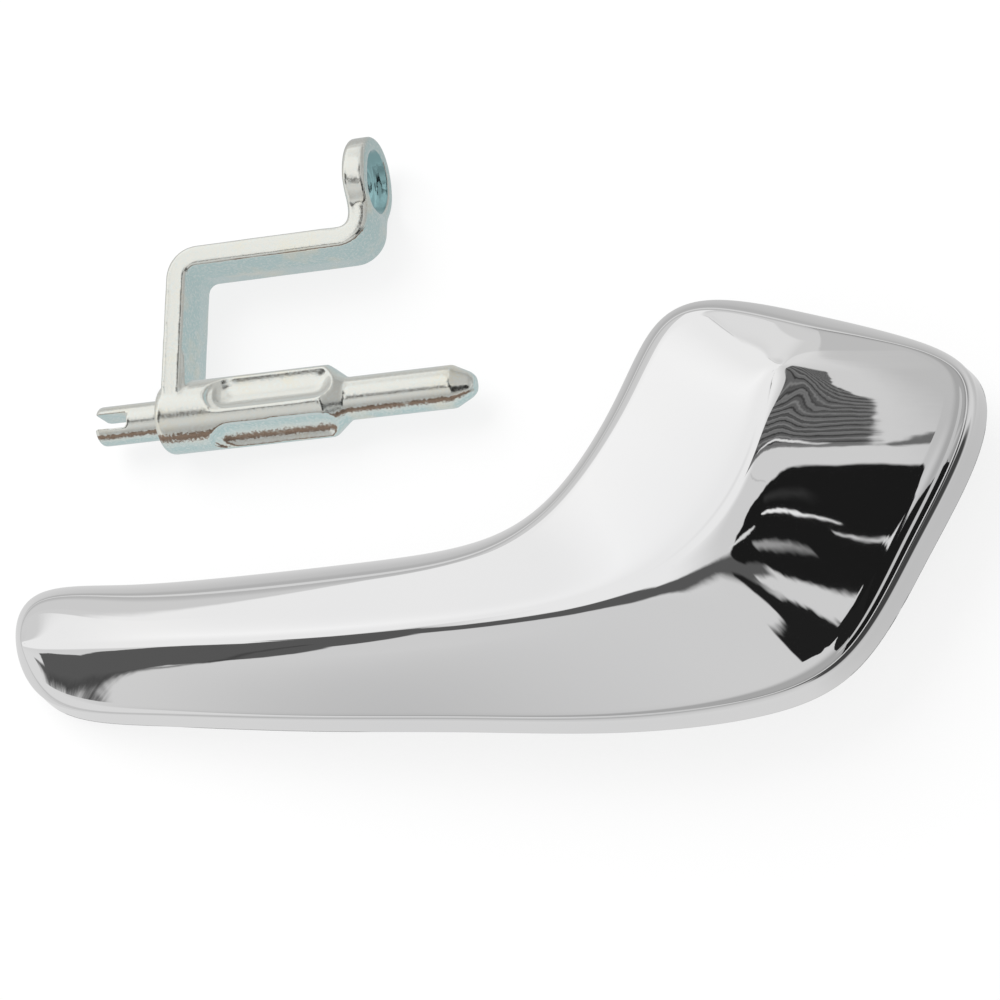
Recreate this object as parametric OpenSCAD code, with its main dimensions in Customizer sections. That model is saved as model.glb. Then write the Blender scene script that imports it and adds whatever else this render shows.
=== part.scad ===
// Chrome pull handle for a car's inner door, lying on its back beside its loose lever pin.
// Millimetres, +Z up. The origin is the middle of the handle's pivot ear, on the pivot axis,
// and the pivot axis runs along Y. The grip reaches out along -X.

/* [Grip] */
// From the pivot to the far end of the grip's control polygon
grip_reach = 122; // [100:1:145]
// Upper edge of the grip above the ear's middle
grip_top = 9; // [7:0.5:12]
// Lower edge of the grip under the ear's middle, at the neck
grip_foot = 15.5; // [12:0.5:19]
// From the pivot to the neck, where the upper edge turns up into the pad
neck_reach = 45.5; // [38:0.5:55]

/* [Pad] */
// Right corner of the pad's control polygon, from the pivot
pad_reach = 23.5; // [19:0.5:28]
// Height of the pad's upper corner
pad_rise = 42.5; // [36:0.5:50]
// Height of the pad's right corner
pad_corner = 28; // [24:0.5:33]
// Left side of the pad, from the pivot
pad_left = 22.5; // [19:0.5:27]
// Lowest point of the pad under the ear's middle
pad_foot = 17.5; // [14:0.5:20]

/* [Section] */
// Thickness of the moulded wall
wall_t = 2.2; // [1.6:0.1:2.8]
// Draft of the side walls, in degrees
draft = 8.5; // [4:0.5:12]
// Rim of the pad above the pivot axis
rim_lift = 1.4; // [0.5:0.1:2.5]
// Where the rim starts to sweep back towards the grip's end
sweep_start = 28; // [20:1:40]
// Height of the straight wall along the lower and right sides
wall_low = 4.6; // [3.5:0.1:5.2]
// Height of the straight wall along the grip's upper side
wall_top = 1.8; // [1:0.1:2.6]
// Height of the face at its edge on the grip
edge_grip = 5.2; // [4.8:0.1:7]
// Height of the face at its edge on the pad
edge_pad = 8; // [6.5:0.1:9.5]
// Height of the ridge over the rim at the grip's end
crown_tip = 7; // [6:0.1:9]
// Height of the ridge over the rim at the neck
crown_neck = 10.8; // [9:0.1:13]
// Height of the ridge over the rim on the pad
crown_pad = 14; // [12:0.1:17]
// Radius of the roll along the grip's upper edge
roll_grip = 7; // [4:0.1:8]
// Radius of the roll round the pad
roll_pad = 3.6; // [2:0.1:4]

/* [Ribs] */
// Thickness of the ribs and webs
rib_t = 1.3; // [0.8:0.1:2]
// Depth of the ribs under the rim
rib_recess = 1.6; // [0.5:0.1:3]
// Distance between the ribs across the grip
rib_pitch = 13; // [9:0.5:20]

/* [Pivot] */
// Diameter of the lever's pin
pin_d = 6.2; // [5:0.1:7]
// Running clearance round the pin, on the radius
run_gap = 0.1; // [0.06:0.01:0.2]
// Clearance round the keyed shaft, on the radius
key_gap = 0.15; // [0.1:0.01:0.3]
// Wall of the keyed boss
boss_wall = 1.85; // [1.4:0.05:2.5]
// Thickness of the pivot ear
ear_t = 4; // [3:0.5:6]
// Clear space between the ear and the keyed boss
ear_gap = 8; // [6:0.5:10]

/* [Lever shaft] */
// Diameter of the thick part of the shaft
shaft_d = 10.4; // [9:0.1:12]
// Distance across the four driving flats
key_flat = 8.8; // [8:0.1:9.6]
// Width of the round-ended pocket that leaves each flat
pocket_w = 5.2; // [4.6:0.1:5.4]
// Turn of the flats about the shaft, in degrees
key_turn = 26; // [0:1:44]
// Length of the driving flats
key_len = 18; // [14:0.5:22]
// Length of the round shoulder that carries the arm
shoulder_len = 7.7; // [7:0.1:12]
// Length of the cone between the shaft and the pin
cone_len = 2.7; // [1.5:0.1:4]
// Length of the pin
pin_len = 15.7; // [12:0.1:20]
// Length of the pin's chamfered end
tip_len = 3.2; // [2:0.1:4]
// Diameter of the forked stub
fork_d = 5.8; // [5:0.1:5.8]
// Length of the forked stub
fork_len = 10.2; // [8:0.1:12]
// Width of the fork's slot
slot_w = 2.1; // [1.4:0.1:2.6]
// Length of the fork's slot
slot_len = 5; // [3.5:0.1:6.5]

/* [Lever arm] */
// From the shaft's axis to the middle of the arm's long run
arm_off = 22.9; // [18:0.1:28]
// From the shoulder's free face to the middle of the first leg, at the shaft
arm_start = 2.5; // [2.3:0.1:4.5]
// How far the first leg leans towards the pin on its way up
arm_lean = 1.1; // [0:0.1:3]
// From the shoulder's free face to the middle of the second leg and the eye
arm_reach = 31.6; // [26:0.1:38]
// Thickness of the arm at its parting line
arm_t = 4.1; // [3:0.1:4.5]
// Depth of the arm along the mould's draw
arm_depth = 9.6; // [7:0.1:10.2]
// Draft of the arm's sides, in degrees
arm_draft = 6.5; // [2:0.5:9]
// How far the first leg's thickened foot reaches up from the shaft's axis
foot_rise = 8.6; // [7:0.1:11]
// Radius of the arm's bends at the middle of the strip
bend_r = 3; // [2.6:0.1:5]
// From the shaft's axis to the eye's centre
eye_off = 32.2; // [30:0.1:40]
// Diameter of the eye's hole
eye_hole_d = 9.2; // [7:0.1:10]
// Wall of the eye round its hole
eye_wall = 2; // [1.5:0.1:3]
// Thickness of the eye
eye_t = 3.5; // [2.5:0.1:4.5]

/* [Layout] */
// Gap between the lever's shaft and the grip, where it lies apart
lever_gap = 19.7; // [10:1:40]
// How far the lever's free end lies left of the neck
lever_back = 3.4; // [0:0.1:20]
// Turn of the lever on the surface, in degrees
lever_turn = 1; // [-5:0.1:5]

/* [Hidden] */
$fn = 48;

boss_r = shaft_d / 2 + key_gap + boss_wall;
floor_z = -boss_r;
boss_start = ear_t / 2 + ear_gap;
boss_len = key_len - 0.5;
thick_len = shoulder_len + key_len;
eye_r = eye_hole_d / 2 + eye_wall;
far = 60;

function lerp(a, b, k) = a + (b - a) * k;
function plan(p) = [p[0], p[1]];

// Place along the grip, from 0 at the neck to 1 at its end
function grip_x(k) = lerp(-neck_reach, -grip_reach, k);
// Height of the face's edge, from 0 on the grip to 1 on the pad
function edge_h(k) = lerp(edge_grip, edge_pad, k);

// Control points of the outline, clockwise from the grip's end:
// x, y, height of the straight wall, height of the face's edge, radius of the roll between them
outline = [
    [grip_x(0.995), 3.5, wall_top + 1, edge_h(-0.2), 0.72 * roll_pad],
    [grip_x(0.95), grip_top + 3, wall_top + 0.4, edge_h(-0.05), 0.6 * roll_grip],
    [grip_x(0.74), grip_top + 0.5, wall_top, edge_h(0.15), roll_grip],
    [grip_x(0.485), grip_top, wall_top, edge_h(0.2), roll_grip],
    [grip_x(0.235), grip_top, wall_top + 0.4, edge_h(0.3), 0.8 * roll_grip],
    [grip_x(0), grip_top + 0.5, wall_top + 1, edge_h(0.35), lerp(roll_pad, roll_grip, 0.1)],
    [10 - neck_reach, grip_top + 6, lerp(wall_top, wall_low, 0.55), edge_h(0.45), 0.85 * roll_pad],
    [-pad_left - 4.5, lerp(grip_top, pad_rise, 0.56), lerp(wall_top, wall_low, 0.7), edge_h(0.55), 0.9 * roll_pad],
    [-pad_left, pad_rise - 3.5, lerp(wall_top, wall_low, 0.85), edge_h(0.7), roll_pad],
    [8.5 - pad_left, pad_rise, wall_low, edge_h(0.85), roll_pad],
    [2, lerp(pad_rise, pad_corner, 0.38), wall_low, edge_h(1), 0.95 * roll_pad],
    [pad_reach - 11.5, lerp(pad_rise, pad_corner, 0.62), wall_low, edge_h(1), 0.9 * roll_pad],
    [pad_reach, pad_corner, wall_low, edge_h(1), 0.8 * roll_pad],
    [pad_reach - 2, pad_corner - 11.5, wall_low, edge_h(0.9), 0.7 * roll_pad],
    [pad_reach - 10, lerp(pad_corner, -pad_foot, 0.535), wall_low, edge_h(0.75), 0.6 * roll_pad],
    [pad_reach - 18.5, 5.5 - pad_foot, wall_low, edge_h(0.5), 0.45 * roll_pad],
    [-7.5, 1 - pad_foot, wall_low, edge_h(0.3), 1.2],
    [-28, -pad_foot, wall_low, edge_h(0.1), 0.8],
    [grip_x(0.045), -grip_foot, wall_low, edge_h(0), 0.6],
    [grip_x(0.36), 1.5 - grip_foot, wall_low, edge_h(0), 0.6],
    [grip_x(0.675), 4.5 - grip_foot, wall_low, edge_h(-0.05), 0.8],
    [grip_x(0.91), 6.5 - grip_foot, wall_low - 0.8, edge_h(-0.15), 0.6 * roll_pad]];

// Control points of the ridge, from the grip's end up to the pad's middle:
// x, y, height over the rim, radius of its crest
ridge = [
    [grip_x(0.945), 2, crown_tip - 0.8, 3],
    [grip_x(0.885), 0.6, crown_tip - 0.2, 4],
    [grip_x(0.66), -1.2, lerp(crown_tip, crown_neck, 0.3), 6],
    [grip_x(0.36), -3.3, lerp(crown_tip, crown_neck, 0.65), 6],
    [grip_x(0.075), -3.5, lerp(crown_tip, crown_neck, 0.9), 5],
    [-31.5, -2.5, lerp(crown_neck, crown_pad, 0.2), 4],
    [-18, 1, lerp(crown_neck, crown_pad, 0.5), 5],
    [-9, 9, lerp(crown_neck, crown_pad, 0.8), 7],
    [-5, 18.5, crown_pad, 7],
    [-4, 23, crown_pad - 0.2, 12],
    [-3.5, 25.5, crown_pad - 0.4, 16],
    [-3.5, 27, crown_pad - 0.4, 20]];

// Samples between two control points
steps = 4;
rows = len(outline);
half = rows / 2;
count = rows * steps;

// Uniform cubic B-spline through a closed list of control points
function weights(t) = [pow(1 - t, 3), 3 * t * t * t - 6 * t * t + 4, -3 * t * t * t + 3 * t * t + 3 * t + 1, t * t * t] / 6;
function blend(list, j, w) = let (m = len(list))
    w[0] * list[(j + m - 1) % m] + w[1] * list[j] + w[2] * list[(j + 1) % m] + w[3] * list[(j + 2) % m];
function loop(list) = [for (j = [0:len(list) - 1], k = [0:steps - 1]) blend(list, j, weights(k / steps))];

edge_line = loop(outline);
ridge_line = loop([for (j = [0:rows - 1]) ridge[j <= half ? j : rows - j]]);

// The rim is level under the pad and sweeps back so that the grip's end rests on the surface
sweep = rim_lift - floor_z;
sweep_end = grip_reach - 2;
function rim_z(x) = rim_lift - sweep * pow(max(0, min(1, (-x - sweep_start) / (sweep_end - sweep_start))), 2);

// Height of the face over the rim at a plan distance from the ridge
function face_h(away, span, edge, top, crest) = let (
    k = away / span,
    c = crest * (top - edge) / (span * span))
    top - (top - edge) * (sqrt(k * k + c * c) - c) / (sqrt(1 + c * c) - c);

// Points of one cross profile, from the rim over the wall, the roll and the face to the ridge.
// inset moves the wall inwards and drop lowers the face, for the inner skins.
// The inner skins' ridge stops short of the grip's end, to leave room for its end wall.
function profile(i, inset, drop, rolls, faces) = let (
    p = edge_line[i],
    crest = ridge_line[i],
    q = [max(crest[0], 2 - grip_reach + 4 * inset), crest[1], crest[2], crest[3]],
    run = plan(edge_line[(i + 1) % count]) - plan(edge_line[(i + count - 1) % count]),
    inward = [run[1], -run[0]] / norm(run),
    foot = plan(p) + inward * inset,
    span0 = norm(plan(q) - foot),
    dir = (plan(q) - foot) / span0,
    skew = dir * inward,
    edge = p[3] - drop,
    wall = min(p[2] - 0.4 * drop, p[3] - 1.25 * drop),
    start = foot + dir * wall * tan(draft) / skew,
    span = norm(plan(q) - start),
    roll = min(max(p[4] - drop, 0.6) / skew, 0.93 * span),
    top = q[2] - drop)
    concat(
        [[foot[0], foot[1], rim_z(foot[0])]],
        [for (k = [0:rolls]) let (
            d = roll * (1 - cos(90 * k / rolls)),
            h = wall + (face_h(span - d, span, edge, top, q[3]) - wall) * sin(90 * k / rolls),
            xy = start + dir * d)
            [xy[0], xy[1], rim_z(xy[0]) + h]],
        [for (k = [1:faces]) let (
            d = lerp(roll, span, k / faces),
            xy = start + dir * d)
            [xy[0], xy[1], rim_z(xy[0]) + face_h(span - d, span, edge, top, q[3])]]);

// The two sides of a skin share the points of the ridge
function skin_points(skin) = let (last = len(skin[0]) - 1) concat(
    [for (s = skin, k = [0:last - 1]) s[k]],
    [for (i = [0:count / 2]) skin[i][last]]);
function skin_index(i, k, last) = k < last ? (i % count) * last + k : count * last + min(i % count, count - i % count);
function quad(a, b, c, d, out) = out ? [[a, b, c], [a, c, d]] : [[a, c, b], [a, d, c]];
function skin_faces(skin, out, base) = let (last = len(skin[0]) - 1)
    [for (i = [0:count - 1], k = [0:last - 1]) each quad(
        base + skin_index(i, k, last), base + skin_index(i, k + 1, last),
        base + skin_index(i + 1, k + 1, last), base + skin_index(i + 1, k, last), out)];

// The moulded wall: an outer and an inner skin joined round the rim
module shell() {
    outer = [for (i = [0:count - 1]) profile(i, 0, 0, 6, 7)];
    inner = [for (i = [0:count - 1]) profile(i, wall_t, wall_t, 2, 4)];
    base = len(skin_points(outer));
    rim = [for (i = [0:count - 1]) each quad(
        skin_index(i, 0, len(outer[0]) - 1), skin_index(i + 1, 0, len(outer[0]) - 1),
        base + skin_index(i + 1, 0, len(inner[0]) - 1), base + skin_index(i, 0, len(inner[0]) - 1), false)];
    polyhedron(concat(skin_points(outer), skin_points(inner)),
        concat(skin_faces(outer, false, 0), skin_faces(inner, true, base), rim));
}

// A solid that fills the handle up to the middle of its wall, for trimming ribs and webs
module core() {
    skirt = 3;
    mid = [for (i = [0:count - 1]) profile(i, wall_t / 2, wall_t / 2, 2, 4)];
    low = [for (p = mid) [p[0] - [0, 0, skirt], let (r = p[len(p) - 1]) [r[0], r[1], rim_z(r[0]) - skirt]]];
    base = len(skin_points(mid));
    side = [for (i = [0:count - 1]) each quad(
        skin_index(i, 0, len(mid[0]) - 1), skin_index(i + 1, 0, len(mid[0]) - 1),
        base + skin_index(i + 1, 0, 1), base + skin_index(i, 0, 1), false)];
    polyhedron(concat(skin_points(mid), skin_points(low)),
        concat(skin_faces(mid, false, 0), skin_faces(low, true, base), side));
}

// Thin ribs across the grip, each as deep as the rim there allows
module grip_ribs() {
    ribs = floor((grip_reach - neck_reach + 8) / rib_pitch);
    for (n = [1:ribs]) {
        x = 8 - neck_reach - rib_pitch * (n - 0.5);
        translate([x - rib_t / 2, -far, rim_z(x) + rib_recess])
            cube([rib_t, 2 * far, far]);
    }
}

// Webs from the boss and the ear to the face and the walls
module pad_webs() {
    web_low = 0.5;
    end_in = 0.4;
    cross_in = 0.7;
    ear_in = 0.3;
    for (x = [1.2 * rib_t - boss_r, boss_r - 1.2 * rib_t])
        translate([x - rib_t / 2, boss_start + end_in, web_low])
            cube([rib_t, boss_len - 2 * end_in, far]);
    for (y = [boss_start + cross_in, boss_start + boss_len - rib_t - cross_in])
        translate([-far, y, rim_lift + rib_recess])
            cube([2 * far, rib_t, far]);
    translate([ear_in - boss_r, -ear_t / 2, web_low])
        cube([2 * (boss_r - ear_in), ear_t, far]);
}

// Section of the shaft across its driving flats, grown by a clearance
module key_section(gap) {
    intersection() {
        circle(r = shaft_d / 2 + gap);
        rotate(key_turn)
            square(key_flat + 2 * gap, center = true);
    }
}

// Points a shape drawn in XY along +Y, so that it can be extruded along the pivot axis
module along_pivot(y) {
    translate([0, y, 0])
        rotate([-90, 0, 0])
            children();
}

module handle() color("gainsboro") difference() {
    union() {
        shell();
        intersection() {
            core();
            union() {
                grip_ribs();
                pad_webs();
            }
        }
        along_pivot(boss_start)
            cylinder(r = boss_r, h = boss_len);
        along_pivot(-ear_t / 2)
            cylinder(r = boss_r, h = ear_t);
    }
    along_pivot(-ear_t)
        cylinder(r = pin_d / 2 + run_gap, h = 2 * ear_t);
    along_pivot(boss_start - 1)
        linear_extrude(boss_len + 2)
            key_section(key_gap);
    translate([0, boss_start + boss_len + 1, 0])
        fork_notch();
}

// Room for the forked stub behind the boss, open towards the back
module fork_notch() {
    r = fork_d / 2 + 1;
    along_pivot(0)
        cylinder(r = r, h = far);
    translate([-r, 0, -far])
        cube([2 * r, far, far]);
}

// Turned profile of the lever's shaft: distance along it and radius
module shaft() {
    round_r = 1.2;
    end = thick_len + cone_len + pin_len;
    nose = [0.29 * pin_d, 0.19 * pin_d];
    profile = concat(
        [[-fork_len, 0], [-fork_len, fork_d / 2 - 0.4], [0.4 - fork_len, fork_d / 2], [0, fork_d / 2]],
        [for (a = [0:15:90]) [round_r * (1 - cos(a)), shaft_d / 2 - round_r * (1 - sin(a))]],
        [[thick_len, shaft_d / 2], [thick_len + cone_len, pin_d / 2], [end, pin_d / 2],
         [end + 0.8 * tip_len, nose[0]], [end + tip_len, nose[1]], [end + tip_len, 0]]);
    rotate([90, 0, 90])
        rotate_extrude()
            polygon([for (p = profile) [p[1], p[0]]]);
}

// Round-ended pocket that leaves one driving flat
module flat_pocket() {
    r = pocket_w / 2;
    deep = (shaft_d - key_flat) / 2 + 1;
    land = 0.3;
    x0 = shoulder_len + land + r;
    x1 = thick_len - land - r;
    translate([0, 0, key_flat / 2]) {
        for (x = [x0, x1])
            translate([x, 0, 0])
                cylinder(r = r, h = deep);
        translate([x0, -r, 0])
            cube([x1 - x0, 2 * r, deep]);
    }
}

// Points of the arc that rounds the corner b of a path from a to c
function corner(a, b, c, r) = let (
    u = (a - b) / norm(a - b),
    v = (c - b) / norm(c - b),
    opening = acos(u * v),
    away = r / tan(opening / 2),
    middle = b + (u + v) / norm(u + v) * r / sin(opening / 2),
    from = b + u * away - middle,
    side = cross(from, v) < 0 ? -1 : 1)
    [for (k = [0:6]) let (a = side * (180 - opening) * k / 6)
        middle + [from[0] * cos(a) - from[1] * sin(a), from[0] * sin(a) + from[1] * cos(a)]];

// Middle line of the arm: up from the shaft, along the run, and up to the eye
arm_foot = [arm_start, 0];
arm_turn = [arm_start + arm_lean, arm_off];
arm_end = [arm_reach, arm_off];
arm_tip = [arm_reach, eye_off];
arm_line = concat(
    [arm_foot],
    corner(arm_foot, arm_turn, arm_end, bend_r),
    corner(arm_turn, arm_end, arm_tip, bend_r),
    [arm_tip]);
function arm_normal(i) = let (
    n = len(arm_line),
    run = arm_line[min(i + 1, n - 1)] - arm_line[max(i - 1, 0)])
    [run[1], -run[0]] / norm(run);

// The bent strip, widest at its parting line and drafted both ways, with broken edges
module arm() {
    slope = tan(arm_draft);
    levels = [
        [-arm_depth / 2, arm_t / 2 - arm_depth / 2 * slope - 0.3],
        [0.3 - arm_depth / 2, arm_t / 2 - (arm_depth / 2 - 0.3) * slope],
        [0, arm_t / 2],
        [arm_depth / 2 - 0.3, arm_t / 2 - (arm_depth / 2 - 0.3) * slope],
        [arm_depth / 2, arm_t / 2 - arm_depth / 2 * slope - 0.3]];
    n = len(arm_line);
    ring = [for (i = [0:2 * n - 1]) let (j = i < n ? i : 2 * n - 1 - i) [arm_line[j], arm_normal(j) * (i < n ? 1 : -1)]];
    m = len(ring);
    points = [for (level = levels, s = ring) let (xy = s[0] + s[1] * level[1]) [xy[0], xy[1], level[0]]];
    sides = [for (k = [0:len(levels) - 2], i = [0:m - 1]) let (j = (i + 1) % m) each
        quad(k * m + i, (k + 1) * m + i, (k + 1) * m + j, k * m + j, true)];
    last = (len(levels) - 1) * m;
    ends = [for (i = [0:n - 2]) let (j = m - 1 - i) each concat(
        quad(i, i + 1, j - 1, j, true),
        quad(last + i, last + i + 1, last + j - 1, last + j, false))];
    polyhedron(points, concat(sides, ends));
}

// Thickened foot of the first leg, on the side towards the pin
module arm_foot() {
    proud = 0.2;
    half = arm_depth / 2 - 0.6;
    rotate([90, 0, 90])
        translate([0, 0, arm_start])
            linear_extrude(arm_t / 2 + proud)
                polygon([[3, 0], [foot_rise - 2, 0], [foot_rise, half], [3, half]]);
}

// The cable eye, standing across the end of the arm
module eye() {
    edge = 0.5;
    translate([arm_reach - eye_t / 2, eye_off, 0])
        rotate([0, 90, 0])
            rotate_extrude()
                polygon([[0, 0], [eye_r - edge, 0], [eye_r, edge], [eye_r, eye_t - edge], [eye_r - edge, eye_t], [0, eye_t]]);
}

// Lays the lever on the surface: the shaft and the eye's edge both touch it
module lay_lever() {
    reach = thick_len + cone_len + pin_len + tip_len;
    tilt = asin((eye_r - shaft_d / 2) / eye_off);
    translate([-neck_reach - lever_back - reach, grip_top + lever_gap + shaft_d / 2, floor_z + shaft_d / 2])
        rotate([tilt, 0, lever_turn])
            children();
}

module lever_pin() color("lightsteelblue") lay_lever() difference() {
    union() {
        shaft();
        arm();
        arm_foot();
        eye();
    }
    for (k = [0:3])
        rotate([45 + key_turn + 90 * k, 0, 0])
            flat_pocket();
    translate([-fork_len - 1, -slot_w / 2, -far / 2])
        cube([slot_len + 1, slot_w, far]);
    translate([arm_reach, eye_off, 0])
        rotate([0, 90, 0])
            cylinder(r = eye_hole_d / 2, h = 3 * eye_t, center = true);
}

handle();
lever_pin();
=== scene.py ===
"""Looks of the chromed door handle and its zinc-plated lever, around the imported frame."""
import math

import bmesh
import bpy
import numpy as np
from mathutils import Matrix, Vector


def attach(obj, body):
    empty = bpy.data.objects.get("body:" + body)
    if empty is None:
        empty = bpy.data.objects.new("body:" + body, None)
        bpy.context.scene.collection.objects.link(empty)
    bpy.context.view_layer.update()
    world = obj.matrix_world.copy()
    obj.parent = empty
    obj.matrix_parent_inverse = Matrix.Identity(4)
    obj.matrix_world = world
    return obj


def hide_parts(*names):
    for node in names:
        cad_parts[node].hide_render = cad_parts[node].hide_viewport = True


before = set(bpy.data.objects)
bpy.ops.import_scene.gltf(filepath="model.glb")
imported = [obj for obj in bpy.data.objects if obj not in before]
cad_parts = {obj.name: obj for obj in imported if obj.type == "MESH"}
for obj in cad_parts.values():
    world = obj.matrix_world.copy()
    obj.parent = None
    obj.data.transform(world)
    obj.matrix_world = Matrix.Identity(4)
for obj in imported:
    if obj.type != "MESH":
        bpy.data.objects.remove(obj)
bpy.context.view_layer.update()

MM = 0.001

# Driving sizes of the handle, in millimetres, as in its source
GRIP_REACH, GRIP_TOP, GRIP_FOOT, NECK_REACH = 122.0, 9.0, 15.5, 45.5
PAD_REACH, PAD_RISE, PAD_CORNER, PAD_LEFT, PAD_FOOT = 23.5, 42.5, 28.0, 22.5, 17.5
WALL_T, DRAFT, RIM_LIFT, SWEEP_START = 2.2, 8.5, 1.4, 28.0
WALL_LOW, WALL_TOP = 4.6, 1.8
EDGE_GRIP, EDGE_PAD = 5.2, 8.0
CROWN_TIP, CROWN_NECK, CROWN_PAD = 7.0, 10.8, 14.0
ROLL_GRIP, ROLL_PAD = 7.0, 3.6
RIB_T, RIB_RECESS, RIB_PITCH = 1.3, 1.6, 13.0
PIN_D, RUN_GAP, KEY_GAP, BOSS_WALL = 6.2, 0.1, 0.15, 1.85
EAR_T, EAR_GAP = 4.0, 8.0
SHAFT_D, KEY_FLAT, KEY_TURN, KEY_LEN, FORK_D = 10.4, 8.8, 26.0, 18.0, 5.8
SHOULDER_LEN, CONE_LEN, PIN_LEN, TIP_LEN = 7.7, 2.7, 15.7, 3.2
ARM_REACH, EYE_OFF, EYE_D, EYE_WALL = 31.6, 32.2, 9.2, 2.0
LEVER_GAP, LEVER_BACK, LEVER_TURN = 19.7, 3.4, 1.0
# The flutes: half width, middle's distance from the axis, depth from there, turn of the first
FLUTE_R, FLUTE_AT, FLUTE_DEEP, FLUTE_TURN = 3.15, 5.3, 1.95, 67.0
BOSS_R = SHAFT_D / 2 + KEY_GAP + BOSS_WALL
FLOOR_Z = -BOSS_R
BOSS_START = EAR_T / 2 + EAR_GAP
BOSS_LEN = KEY_LEN - 0.5
# Where the flutes start and end past the shaft's keyed length, and the bead in the eye's bore
FLUTE_START, FLUTE_END = 0.7, 2.0
BEAD_R, BEAD_SHIFT = 0.55, 0.1
# How the casting is softened: cell size, passes all over, passes and reach at the eye's neck
CAST_CELL, CAST_PASSES, NECK_PASSES, NECK_SPREAD = 0.21, 9, 110, 7.5
# Far enough to reach past the whole part
FAR = 60.0

# Where the photograph was taken from
TARGET = Vector((-43.0, 15.0, 6.0)) * MM
TO_CAMERA = Vector((0.2806, -0.2806, 0.9179)).normalized()
CAMERA_UP = Vector((0.0820, 0.9598, 0.2684))
CAMERA_DISTANCE = 0.36
LENS = 96.0


def lerp(a, b, k):
    return a + (b - a) * k


def grip_x(k):
    return lerp(-NECK_REACH, -GRIP_REACH, k)


def edge_h(k):
    return lerp(EDGE_GRIP, EDGE_PAD, k)


def outline_controls():
    """x, y, height of the wall, height of the face's edge, radius of the roll."""
    low, top, grip, pad = WALL_LOW, WALL_TOP, ROLL_GRIP, ROLL_PAD
    return np.array([
        [grip_x(0.995), 3.5, top + 1, edge_h(-0.2), 0.72 * pad],
        [grip_x(0.95), GRIP_TOP + 3, top + 0.4, edge_h(-0.05), 0.6 * grip],
        [grip_x(0.74), GRIP_TOP + 0.5, top, edge_h(0.15), grip],
        [grip_x(0.485), GRIP_TOP, top, edge_h(0.2), grip],
        [grip_x(0.235), GRIP_TOP, top + 0.4, edge_h(0.3), 0.8 * grip],
        [grip_x(0), GRIP_TOP + 0.5, top + 1, edge_h(0.35), lerp(pad, grip, 0.1)],
        [10 - NECK_REACH, GRIP_TOP + 6, lerp(top, low, 0.55), edge_h(0.45), 0.85 * pad],
        [-PAD_LEFT - 4.5, lerp(GRIP_TOP, PAD_RISE, 0.56), lerp(top, low, 0.7), edge_h(0.55), 0.9 * pad],
        [-PAD_LEFT, PAD_RISE - 3.5, lerp(top, low, 0.85), edge_h(0.7), pad],
        [8.5 - PAD_LEFT, PAD_RISE, low, edge_h(0.85), pad],
        [2, lerp(PAD_RISE, PAD_CORNER, 0.38), low, edge_h(1), 0.95 * pad],
        [PAD_REACH - 11.5, lerp(PAD_RISE, PAD_CORNER, 0.62), low, edge_h(1), 0.9 * pad],
        [PAD_REACH, PAD_CORNER, low, edge_h(1), 0.8 * pad],
        [PAD_REACH - 2, PAD_CORNER - 11.5, low, edge_h(0.9), 0.9 * pad],
        [PAD_REACH - 10, lerp(PAD_CORNER, -PAD_FOOT, 0.535), low, edge_h(0.75), 0.85 * pad],
        [PAD_REACH - 18.5, 5.5 - PAD_FOOT, low, edge_h(0.5), 0.65 * pad],
        [-7.5, 1 - PAD_FOOT, low, edge_h(0.3), 1.2],
        [-28, -PAD_FOOT, low, edge_h(0.1), 0.8],
        [grip_x(0.045), -GRIP_FOOT, low, edge_h(0), 0.6],
        [grip_x(0.36), 1.5 - GRIP_FOOT, low, edge_h(0), 0.6],
        [grip_x(0.675), 4.5 - GRIP_FOOT, low, edge_h(-0.05), 0.8],
        [grip_x(0.91), 6.5 - GRIP_FOOT, low - 0.8, edge_h(-0.15), 0.6 * pad],
    ], float)


def ridge_controls():
    """x, y, height over the rim, radius of the crest, from the grip's end up to the pad's middle."""
    tip, neck, pad = CROWN_TIP, CROWN_NECK, CROWN_PAD
    return np.array([
        [grip_x(0.945), 2, tip - 0.8, 3],
        [grip_x(0.885), 0.6, tip - 0.2, 4],
        [grip_x(0.66), -1.2, lerp(tip, neck, 0.3), 6],
        [grip_x(0.36), -3.3, lerp(tip, neck, 0.65), 6],
        [grip_x(0.075), -3.5, lerp(tip, neck, 0.9), 5],
        [-31.5, -2.5, lerp(neck, pad, 0.2), 4],
        [-18, 1, lerp(neck, pad, 0.5), 5],
        [-9, 9, lerp(neck, pad, 0.8), 7],
        [-5, 18.5, pad, 7],
        [-4, 23, pad - 0.2, 12],
        [-3.5, 25.5, pad - 0.4, 16],
        [-3.5, 27, pad - 0.4, 20],
    ], float)


def spline_loop(controls, steps):
    """Uniform cubic B-spline through a closed list of control points."""
    rows = len(controls)
    out = []
    for j in range(rows):
        for k in range(steps):
            t = k / steps
            w = [(1 - t) ** 3, 3 * t ** 3 - 6 * t * t + 4, -3 * t ** 3 + 3 * t * t + 3 * t + 1, t ** 3]
            out.append(sum(w[a] / 6 * controls[(j - 1 + a) % rows] for a in range(4)))
    return np.array(out)


def rim_z(x):
    """Height of the rim, which sweeps back to the floor towards the grip's end."""
    sweep_end = GRIP_REACH - 2
    t = np.clip((-x - SWEEP_START) / (sweep_end - SWEEP_START), 0, 1)
    return RIM_LIFT - (RIM_LIFT - FLOOR_Z) * t * t


def face_h(away, span, edge, top, crest):
    """Height of the face at a distance from its ridge: a hyperbola, soft at the crest."""
    k = away / span
    c = crest * (top - edge) / span ** 2
    return top - (top - edge) * (np.sqrt(k * k + c * c) - c) / (np.sqrt(1 + c * c) - c)


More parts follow.
